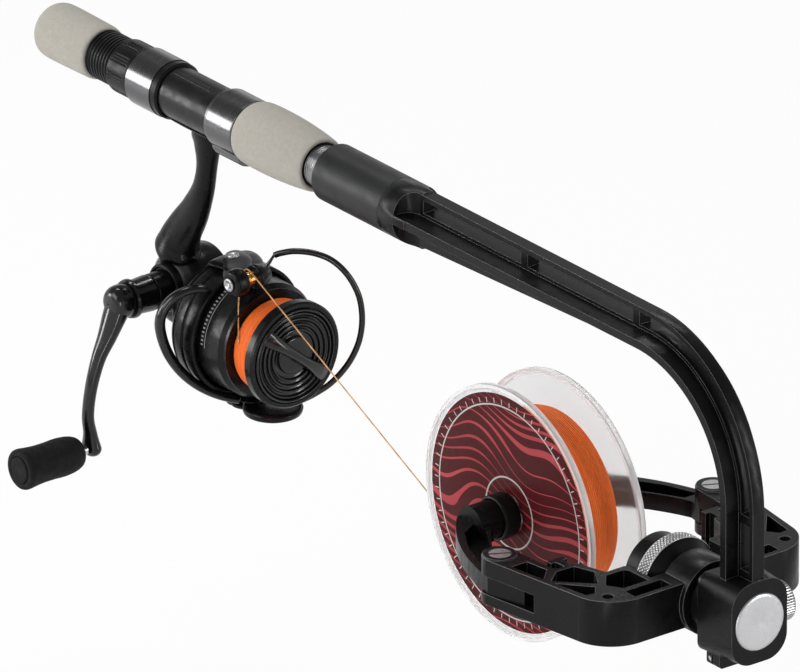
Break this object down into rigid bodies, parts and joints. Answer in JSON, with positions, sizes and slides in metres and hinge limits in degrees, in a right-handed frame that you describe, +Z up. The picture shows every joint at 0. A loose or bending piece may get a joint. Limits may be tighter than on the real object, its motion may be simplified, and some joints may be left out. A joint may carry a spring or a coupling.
{
  "type": "fishing line winder",
  "caption": "Hand-held line winding rod: foam handle with a spinning reel in a seat, an arm bent down to a swivelling yoke, and a filler spool held between sprung levers.",
  "frame": {"origin": "on the handle's axis at the middle of the butt grip's straight wall", "axes": "+X along the handle from the butt towards the arm, +Z up with the reel hanging at -Z, and +Y completes a right-handed frame, so the reel's crank is at -Y"},
  "size_m": [0.5069, 0.1591, 0.183],
  "materials": {
    "foam_grip": "matt closed-cell foam",
    "black_plastic": "satin moulded nylon",
    "sleeve_plastic": "satin",
    "graphite_tube": "satin graphite composite",
    "gunmetal": "turned and dark plated",
    "bright_steel": "bright plated",
    "brushed_alu": "brushed",
    "black_alu": "satin black paint",
    "spool_clear": "clear polystyrene",
    "orange_line": "braided line",
    "label_print": "printed film",
    "rubber_black": "matt rubber",
    "gold": "polished",
    "tan_line": "braided line",
    "spring_steel": "plain"
  },
  "bodies": {
    "frame": {"butt_grip": "foam_grip", "rod_core": "graphite_tube", "ferrule": "graphite_tube", "grip_ring": "gunmetal", "reel_seat": "black_plastic", "fixed_hood": "gunmetal", "fore_grip": "foam_grip", "arm_sleeve": "sleeve_plastic", "arm": "black_plastic", "hub_cap": "brushed_alu", "swivel_axle": "brushed_alu", "lug_screw": "spring_steel", "swivel_washer": "black_plastic", "reel_body": "black_alu", "side_cover": "black_alu", "cover_screws": "bright_steel", "crank_bearing": "bright_steel", "pinion_bearing": "bright_steel", "running_line": "tan_line"},
    "hood": {"hood_ring": "gunmetal", "hood_lip": "black_plastic"},
    "nut": {"lock_nut": "black_plastic"},
    "yoke": {"yoke": "black_plastic", "yoke_bushes": "brushed_alu", "pivot_screws": "bright_steel", "pivot_nuts": "bright_steel", "lever_springs": "spring_steel"},
    "knob": {"lock_knob": "black_plastic", "knob_band": "bright_steel"},
    "thumb": {"thumb_screw": "bright_steel"},
    "front_lever": {"lever_front": "black_plastic", "cone_pin_front": "bright_steel"},
    "rear_lever": {"lever_rear": "black_plastic", "cone_pin_rear": "bright_steel"},
    "front_cone": {"cone_front": "rubber_black"},
    "rear_cone": {"cone_rear": "rubber_black"},
    "filler": {"filler_spool": "spool_clear", "filler_line": "orange_line", "spool_label": "label_print"},
    "crank": {"crank_arm": "black_alu", "crank_shaft": "spring_steel", "crank_sleeve": "black_alu", "drive_gear": "gold", "knob_axle": "spring_steel"},
    "crank_grip": {"crank_knob": "rubber_black", "knob_cap": "black_alu"},
    "rotor": {"rotor": "black_alu", "pinion_gear": "gold", "rotor_nut": "spring_steel"},
    "bail": {"bail_arm": "black_alu", "bail_wire": "black_alu", "bail_lever": "black_alu", "roller_screw": "bright_steel"},
    "roller": {"line_roller": "gold"},
    "shaft": {"main_shaft": "spring_steel", "oscillation_slider": "spring_steel"},
    "reel_spool": {"reel_spool": "black_alu", "reel_line": "orange_line", "drag_washers": "rubber_black"},
    "drag": {"drag_knob": "black_alu"}
  },
  "joints": [
    {"name": "hood_slide", "type": "slide", "parent": "frame", "child": "hood", "axis": [1, 0, 0], "range_m": [-0.012, 0]},
    {"name": "lock_nut_turn", "type": "hinge", "parent": "hood", "child": "nut", "pos_m": [0.042, 0, 0], "axis": [1, 0, 0], "range_deg": [-2160, 0]},
    {"name": "yoke_swivel", "type": "hinge", "parent": "frame", "child": "yoke", "pos_m": [0.445, 0, -0.1095], "axis": [1, 0, 0], "continuous": true},
    {"name": "lock_knob_turn", "type": "hinge", "parent": "frame", "child": "knob", "pos_m": [0.425, 0, -0.1095], "axis": [1, 0, 0], "range_deg": [0, 360]},
    {"name": "thumb_screw_turn", "type": "hinge", "parent": "frame", "child": "thumb", "pos_m": [0.473, 0.018, -0.1095], "axis": [0, 1, 0], "range_deg": [-180, 0]},
    {"name": "front_lever_open", "type": "hinge", "parent": "yoke", "child": "front_lever", "pos_m": [0.378, -0.0595, -0.1115], "axis": [0, 0, 1], "range_deg": [0, 22], "stiffness_Nm_per_rad": 0.6, "springref_deg": -20.05},
    {"name": "rear_lever_open", "type": "hinge", "parent": "yoke", "child": "rear_lever", "pos_m": [0.378, 0.0595, -0.1115], "axis": [0, 0, -1], "range_deg": [0, 22], "stiffness_Nm_per_rad": 0.6, "springref_deg": -20.05},
    {"name": "filler_spool_spin", "type": "hinge", "parent": "yoke", "child": "filler", "pos_m": [0.328, 0, -0.1095], "axis": [0, 1, 0], "continuous": true},
    {"name": "front_cone_spin", "type": "hinge", "parent": "front_lever", "child": "front_cone", "pos_m": [0.328, -0.0146, -0.1095], "axis": [0, 1, 0], "continuous": true},
    {"name": "rear_cone_spin", "type": "hinge", "parent": "rear_lever", "child": "rear_cone", "pos_m": [0.328, 0.0146, -0.1095], "axis": [0, 1, 0], "continuous": true},
    {"name": "crank_turn", "type": "hinge", "parent": "frame", "child": "crank", "pos_m": [0.074, -0.02, -0.0915], "axis": [0, 1, 0], "continuous": true},
    {"name": "crank_knob_spin", "type": "hinge", "parent": "crank", "child": "crank_grip", "pos_m": [0.073, -0.07, -0.1585], "axis": [0, 1, 0], "continuous": true},
    {"name": "rotor_spin", "type": "hinge", "parent": "frame", "child": "rotor", "pos_m": [0.1, 0, -0.0985], "axis": [1, 0, 0], "continuous": true, "deforming": ["running_line"]},
    {"name": "bail_flip", "type": "hinge", "parent": "rotor", "child": "bail", "pos_m": [0.119, 0, -0.0985], "axis": [0, 0, 1], "range_deg": [-80, 0]},
    {"name": "line_roller_spin", "type": "hinge", "parent": "bail", "child": "roller", "pos_m": [0.136, -0.009, -0.0655], "axis": [0, 1, 0], "continuous": true},
    {"name": "spool_oscillation", "type": "slide", "parent": "frame", "child": "shaft", "axis": [1, 0, 0], "range_m": [-0.01, 0.001]},
    {"name": "reel_spool_drag", "type": "hinge", "parent": "shaft", "child": "reel_spool", "pos_m": [0.14, 0, -0.0985], "axis": [1, 0, 0], "continuous": true},
    {"name": "drag_knob_turn", "type": "hinge", "parent": "shaft", "child": "drag", "pos_m": [0.156, 0, -0.0985], "axis": [1, 0, 0], "range_deg": [-360, 360]}
  ],
  "couplings": [
    {"joint": "hood_slide", "follows": "lock_nut_turn", "m_per_rad": 0.00031831},
    {"joint": "rotor_spin", "follows": "crank_turn", "ratio": 5.2},
    {"joint": "front_cone_spin", "follows": "filler_spool_spin", "ratio": 1},
    {"joint": "rear_cone_spin", "follows": "filler_spool_spin", "ratio": 1}
  ]
}
